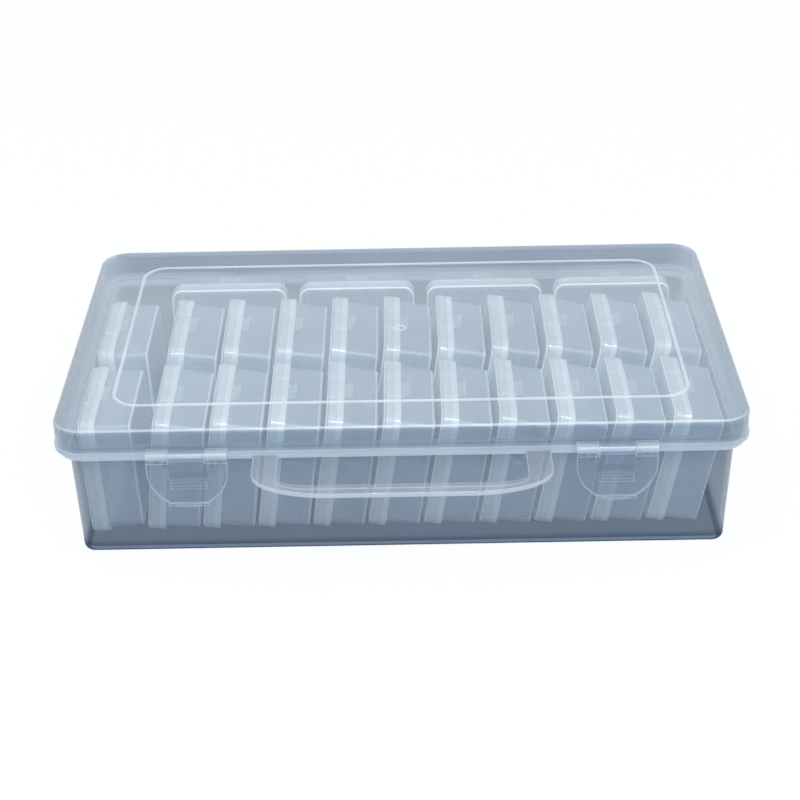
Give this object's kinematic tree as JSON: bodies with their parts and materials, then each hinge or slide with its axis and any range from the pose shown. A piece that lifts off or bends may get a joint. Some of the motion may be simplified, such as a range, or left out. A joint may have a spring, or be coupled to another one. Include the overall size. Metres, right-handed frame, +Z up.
{
  "type": "craft storage organizer",
  "caption": "Clear plastic carry case with a hinged lid, two flip latches and a flat front handle, packed with rows of small square flip-lid boxes for craft supplies.",
  "frame": {"origin": "centre of the case's flat underside", "axes": "+X to the right as seen from the handle side, along the case's length; +Y towards the hinge at the back; +Z up"},
  "size_m": [0.2782, 0.2041, 0.0626],
  "materials": {
    "clear_case_plastic": "clear, faintly blue-grey polypropylene with a smooth polished surface",
    "clear_latch_plastic": "clear polypropylene, a little whiter where it is thick",
    "clear_box_plastic": "clear polypropylene, smooth",
    "clear_box_lid_plastic": "clear polypropylene, slightly milky at the skirt"
  },
  "bodies": {
    "case_base": {"case_base": "clear_case_plastic"},
    "case_lid": {"case_lid": "clear_case_plastic"},
    "latch_left": {"latch_left": "clear_latch_plastic"},
    "latch_right": {"latch_right": "clear_latch_plastic"},
    "front_tray_01": {"front_tray_01": "clear_box_plastic"},
    "front_lid_01": {"front_lid_01": "clear_box_lid_plastic"},
    "front_tray_02": {"front_tray_02": "clear_box_plastic"},
    "front_lid_02": {"front_lid_02": "clear_box_lid_plastic"},
    "front_tray_03": {"front_tray_03": "clear_box_plastic"},
    "front_lid_03": {"front_lid_03": "clear_box_lid_plastic"},
    "front_tray_04": {"front_tray_04": "clear_box_plastic"},
    "front_lid_04": {"front_lid_04": "clear_box_lid_plastic"},
    "front_tray_05": {"front_tray_05": "clear_box_plastic"},
    "front_lid_05": {"front_lid_05": "clear_box_lid_plastic"},
    "front_tray_06": {"front_tray_06": "clear_box_plastic"},
    "front_lid_06": {"front_lid_06": "clear_box_lid_plastic"},
    "front_tray_07": {"front_tray_07": "clear_box_plastic"},
    "front_lid_07": {"front_lid_07": "clear_box_lid_plastic"},
    "front_tray_08": {"front_tray_08": "clear_box_plastic"},
    "front_lid_08": {"front_lid_08": "clear_box_lid_plastic"},
    "front_tray_09": {"front_tray_09": "clear_box_plastic"},
    "front_lid_09": {"front_lid_09": "clear_box_lid_plastic"},
    "front_tray_10": {"front_tray_10": "clear_box_plastic"},
    "front_lid_10": {"front_lid_10": "clear_box_lid_plastic"},
    "front_tray_11": {"front_tray_11": "clear_box_plastic"},
    "front_lid_11": {"front_lid_11": "clear_box_lid_plastic"},
    "middle_tray_01": {"middle_tray_01": "clear_box_plastic"},
    "middle_lid_01": {"middle_lid_01": "clear_box_lid_plastic"},
    "middle_tray_02": {"middle_tray_02": "clear_box_plastic"},
    "middle_lid_02": {"middle_lid_02": "clear_box_lid_plastic"},
    "middle_tray_03": {"middle_tray_03": "clear_box_plastic"},
    "middle_lid_03": {"middle_lid_03": "clear_box_lid_plastic"},
    "middle_tray_04": {"middle_tray_04": "clear_box_plastic"},
    "middle_lid_04": {"middle_lid_04": "clear_box_lid_plastic"},
    "middle_tray_05": {"middle_tray_05": "clear_box_plastic"},
    "middle_lid_05": {"middle_lid_05": "clear_box_lid_plastic"},
    "middle_tray_06": {"middle_tray_06": "clear_box_plastic"},
    "middle_lid_06": {"middle_lid_06": "clear_box_lid_plastic"},
    "middle_tray_07": {"middle_tray_07": "clear_box_plastic"},
    "middle_lid_07": {"middle_lid_07": "clear_box_lid_plastic"},
    "middle_tray_08": {"middle_tray_08": "clear_box_plastic"},
    "middle_lid_08": {"middle_lid_08": "clear_box_lid_plastic"},
    "middle_tray_09": {"middle_tray_09": "clear_box_plastic"},
    "middle_lid_09": {"middle_lid_09": "clear_box_lid_plastic"},
    "middle_tray_10": {"middle_tray_10": "clear_box_plastic"},
    "middle_lid_10": {"middle_lid_10": "clear_box_lid_plastic"},
    "middle_tray_11": {"middle_tray_11": "clear_box_plastic"},
    "middle_lid_11": {"middle_lid_11": "clear_box_lid_plastic"},
    "back_tray_01": {"back_tray_01": "clear_box_plastic"},
    "back_lid_01": {"back_lid_01": "clear_box_lid_plastic"},
    "back_tray_02": {"back_tray_02": "clear_box_plastic"},
    "back_lid_02": {"back_lid_02": "clear_box_lid_plastic"},
    "back_tray_03": {"back_tray_03": "clear_box_plastic"},
    "back_lid_03": {"back_lid_03": "clear_box_lid_plastic"},
    "back_tray_04": {"back_tray_04": "clear_box_plastic"},
    "back_lid_04": {"back_lid_04": "clear_box_lid_plastic"}
  },
  "joints": [
    {"name": "case_lid_hinge", "type": "hinge", "parent": "case_base", "child": "case_lid", "pos_m": [0, 0.08608, 0.04971], "axis": [-1, 0, 0], "range_deg": [0, 112]},
    {"name": "case_latch_left", "type": "hinge", "parent": "case_lid", "child": "latch_left", "pos_m": [-0.085, -0.08508, 0.05121], "axis": [-1, 0, 0], "range_deg": [0, 165]},
    {"name": "case_latch_right", "type": "hinge", "parent": "case_lid", "child": "latch_right", "pos_m": [0.085, -0.08508, 0.05121], "axis": [-1, 0, 0], "range_deg": [0, 165]},
    {"name": "small_lift_front_01", "type": "slide", "parent": "case_base", "child": "front_tray_01", "axis": [0, 0, 1], "range_m": [0, 0.0035]},
    {"name": "small_lid_front_01", "type": "hinge", "parent": "front_tray_01", "child": "front_lid_01", "pos_m": [-0.12054, -0.04034, 0.0029], "axis": [0, -1, 0], "range_deg": [0, 0.8]},
    {"name": "small_lift_front_02", "type": "slide", "parent": "case_base", "child": "front_tray_02", "axis": [0, 0, 1], "range_m": [0, 0.0035]},
    {"name": "small_lid_front_02", "type": "hinge", "parent": "front_tray_02", "child": "front_lid_02", "pos_m": [-0.09781, -0.04034, 0.0029], "axis": [0, -1, 0], "range_deg": [0, 6]},
    {"name": "small_lift_front_03", "type": "slide", "parent": "case_base", "child": "front_tray_03", "axis": [0, 0, 1], "range_m": [0, 0.0035]},
    {"name": "small_lid_front_03", "type": "hinge", "parent": "front_tray_03", "child": "front_lid_03", "pos_m": [-0.07497, -0.04034, 0.0029], "axis": [0, -1, 0], "range_deg": [0, 1.2]},
    {"name": "small_lift_front_04", "type": "slide", "parent": "case_base", "child": "front_tray_04", "axis": [0, 0, 1], "range_m": [0, 0.0035]},
    {"name": "small_lid_front_04", "type": "hinge", "parent": "front_tray_04", "child": "front_lid_04", "pos_m": [-0.0521, -0.04034, 0.0029], "axis": [0, -1, 0], "range_deg": [0, 1.2]},
    {"name": "small_lift_front_05", "type": "slide", "parent": "case_base", "child": "front_tray_05", "axis": [0, 0, 1], "range_m": [0, 0.0035]},
    {"name": "small_lid_front_05", "type": "hinge", "parent": "front_tray_05", "child": "front_lid_05", "pos_m": [-0.02922, -0.04034, 0.0029], "axis": [0, -1, 0], "range_deg": [0, 1.2]},
    {"name": "small_lift_front_06", "type": "slide", "parent": "case_base", "child": "front_tray_06", "axis": [0, 0, 1], "range_m": [0, 0.0035]},
    {"name": "small_lid_front_06", "type": "hinge", "parent": "front_tray_06", "child": "front_lid_06", "pos_m": [-0.0063, -0.04034, 0.0029], "axis": [0, -1, 0], "range_deg": [0, 1.2]},
    {"name": "small_lift_front_07", "type": "slide", "parent": "case_base", "child": "front_tray_07", "axis": [0, 0, 1], "range_m": [0, 0.0035]},
    {"name": "small_lid_front_07", "type": "hinge", "parent": "front_tray_07", "child": "front_lid_07", "pos_m": [0.01664, -0.04034, 0.0029], "axis": [0, -1, 0], "range_deg": [0, 1.2]},
    {"name": "small_lift_front_08", "type": "slide", "parent": "case_base", "child": "front_tray_08", "axis": [0, 0, 1], "range_m": [0, 0.0035]},
    {"name": "small_lid_front_08", "type": "hinge", "parent": "front_tray_08", "child": "front_lid_08", "pos_m": [0.03961, -0.04034, 0.0029], "axis": [0, -1, 0], "range_deg": [0, 1.2]},
    {"name": "small_lift_front_09", "type": "slide", "parent": "case_base", "child": "front_tray_09", "axis": [0, 0, 1], "range_m": [0, 0.0035]},
    {"name": "small_lid_front_09", "type": "hinge", "parent": "front_tray_09", "child": "front_lid_09", "pos_m": [0.06261, -0.04034, 0.0029], "axis": [0, -1, 0], "range_deg": [0, 1.2]},
    {"name": "small_lift_front_10", "type": "slide", "parent": "case_base", "child": "front_tray_10", "axis": [0, 0, 1], "range_m": [0, 0.0035]},
    {"name": "small_lid_front_10", "type": "hinge", "parent": "front_tray_10", "child": "front_lid_10", "pos_m": [0.08564, -0.04034, 0.0029], "axis": [0, -1, 0], "range_deg": [0, 1.2]},
    {"name": "small_lift_front_11", "type": "slide", "parent": "case_base", "child": "front_tray_11", "axis": [0, 0, 1], "range_m": [0, 0.0035]},
    {"name": "small_lid_front_11", "type": "hinge", "parent": "front_tray_11", "child": "front_lid_11", "pos_m": [0.10871, -0.04034, 0.0029], "axis": [0, -1, 0], "range_deg": [0, 1.2]},
    {"name": "small_lift_middle_01", "type": "slide", "parent": "case_base", "child": "middle_tray_01", "axis": [0, 0, 1], "range_m": [0, 0.0035]},
    {"name": "small_lid_middle_01", "type": "hinge", "parent": "middle_tray_01", "child": "middle_lid_01", "pos_m": [-0.12054, 0.02087, 0.0029], "axis": [0, -1, 0], "range_deg": [0, 0.8]},
    {"name": "small_lift_middle_02", "type": "slide", "parent": "case_base", "child": "middle_tray_02", "axis": [0, 0, 1], "range_m": [0, 0.0035]},
    {"name": "small_lid_middle_02", "type": "hinge", "parent": "middle_tray_02", "child": "middle_lid_02", "pos_m": [-0.09781, 0.02087, 0.0029], "axis": [0, -1, 0], "range_deg": [0, 6]},
    {"name": "small_lift_middle_03", "type": "slide", "parent": "case_base", "child": "middle_tray_03", "axis": [0, 0, 1], "range_m": [0, 0.0035]},
    {"name": "small_lid_middle_03", "type": "hinge", "parent": "middle_tray_03", "child": "middle_lid_03", "pos_m": [-0.07497, 0.02087, 0.0029], "axis": [0, -1, 0], "range_deg": [0, 1.2]},
    {"name": "small_lift_middle_04", "type": "slide", "parent": "case_base", "child": "middle_tray_04", "axis": [0, 0, 1], "range_m": [0, 0.0035]},
    {"name": "small_lid_middle_04", "type": "hinge", "parent": "middle_tray_04", "child": "middle_lid_04", "pos_m": [-0.0521, 0.02087, 0.0029], "axis": [0, -1, 0], "range_deg": [0, 1.2]},
    {"name": "small_lift_middle_05", "type": "slide", "parent": "case_base", "child": "middle_tray_05", "axis": [0, 0, 1], "range_m": [0, 0.0035]},
    {"name": "small_lid_middle_05", "type": "hinge", "parent": "middle_tray_05", "child": "middle_lid_05", "pos_m": [-0.02922, 0.02087, 0.0029], "axis": [0, -1, 0], "range_deg": [0, 1.2]},
    {"name": "small_lift_middle_06", "type": "slide", "parent": "case_base", "child": "middle_tray_06", "axis": [0, 0, 1], "range_m": [0, 0.0035]},
    {"name": "small_lid_middle_06", "type": "hinge", "parent": "middle_tray_06", "child": "middle_lid_06", "pos_m": [-0.0063, 0.02087, 0.0029], "axis": [0, -1, 0], "range_deg": [0, 1.2]},
    {"name": "small_lift_middle_07", "type": "slide", "parent": "case_base", "child": "middle_tray_07", "axis": [0, 0, 1], "range_m": [0, 0.0035]},
    {"name": "small_lid_middle_07", "type": "hinge", "parent": "middle_tray_07", "child": "middle_lid_07", "pos_m": [0.01664, 0.02087, 0.0029], "axis": [0, -1, 0], "range_deg": [0, 1.2]},
    {"name": "small_lift_middle_08", "type": "slide", "parent": "case_base", "child": "middle_tray_08", "axis": [0, 0, 1], "range_m": [0, 0.0035]},
    {"name": "small_lid_middle_08", "type": "hinge", "parent": "middle_tray_08", "child": "middle_lid_08", "pos_m": [0.03961, 0.02087, 0.0029], "axis": [0, -1, 0], "range_deg": [0, 1.2]},
    {"name": "small_lift_middle_09", "type": "slide", "parent": "case_base", "child": "middle_tray_09", "axis": [0, 0, 1], "range_m": [0, 0.0035]},
    {"name": "small_lid_middle_09", "type": "hinge", "parent": "middle_tray_09", "child": "middle_lid_09", "pos_m": [0.06261, 0.02087, 0.0029], "axis": [0, -1, 0], "range_deg": [0, 1.2]},
    {"name": "small_lift_middle_10", "type": "slide", "parent": "case_base", "child": "middle_tray_10", "axis": [0, 0, 1], "range_m": [0, 0.0035]},
    {"name": "small_lid_middle_10", "type": "hinge", "parent": "middle_tray_10", "child": "middle_lid_10", "pos_m": [0.08564, 0.02087, 0.0029], "axis": [0, -1, 0], "range_deg": [0, 1.2]},
    {"name": "small_lift_middle_11", "type": "slide", "parent": "case_base", "child": "middle_tray_11", "axis": [0, 0, 1], "range_m": [0, 0.0035]},
    {"name": "small_lid_middle_11", "type": "hinge", "parent": "middle_tray_11", "child": "middle_lid_11", "pos_m": [0.10871, 0.02087, 0.0029], "axis": [0, -1, 0], "range_deg": [0, 1.2]},
    {"name": "small_lift_back_01", "type": "slide", "parent": "case_base", "child": "back_tray_01", "axis": [0, 0, 1], "range_m": [0, 0.0035]},
    {"name": "small_lid_back_01", "type": "hinge", "parent": "back_tray_01", "child": "back_lid_01", "pos_m": [-0.07838, 0.05987, 0.0029], "axis": [1, 0, 0], "range_deg": [0, 5]},
    {"name": "small_lift_back_02", "type": "slide", "parent": "case_base", "child": "back_tray_02", "axis": [0, 0, 1], "range_m": [0, 0.0035]},
    {"name": "small_lid_back_02", "type": "hinge", "parent": "back_tray_02", "child": "back_lid_02", "pos_m": [-0.01978, 0.05987, 0.0029], "axis": [1, 0, 0], "range_deg": [0, 5]},
    {"name": "small_lift_back_03", "type": "slide", "parent": "case_base", "child": "back_tray_03", "axis": [0, 0, 1], "range_m": [0, 0.0035]},
    {"name": "small_lid_back_03", "type": "hinge", "parent": "back_tray_03", "child": "back_lid_03", "pos_m": [0.03882, 0.05987, 0.0029], "axis": [1, 0, 0], "range_deg": [0, 5]},
    {"name": "small_lift_back_04", "type": "slide", "parent": "case_base", "child": "back_tray_04", "axis": [0, 0, 1], "range_m": [0, 0.0035]},
    {"name": "small_lid_back_04", "type": "hinge", "parent": "back_tray_04", "child": "back_lid_04", "pos_m": [0.09742, 0.05987, 0.0029], "axis": [1, 0, 0], "range_deg": [0, 5]}
  ]
}
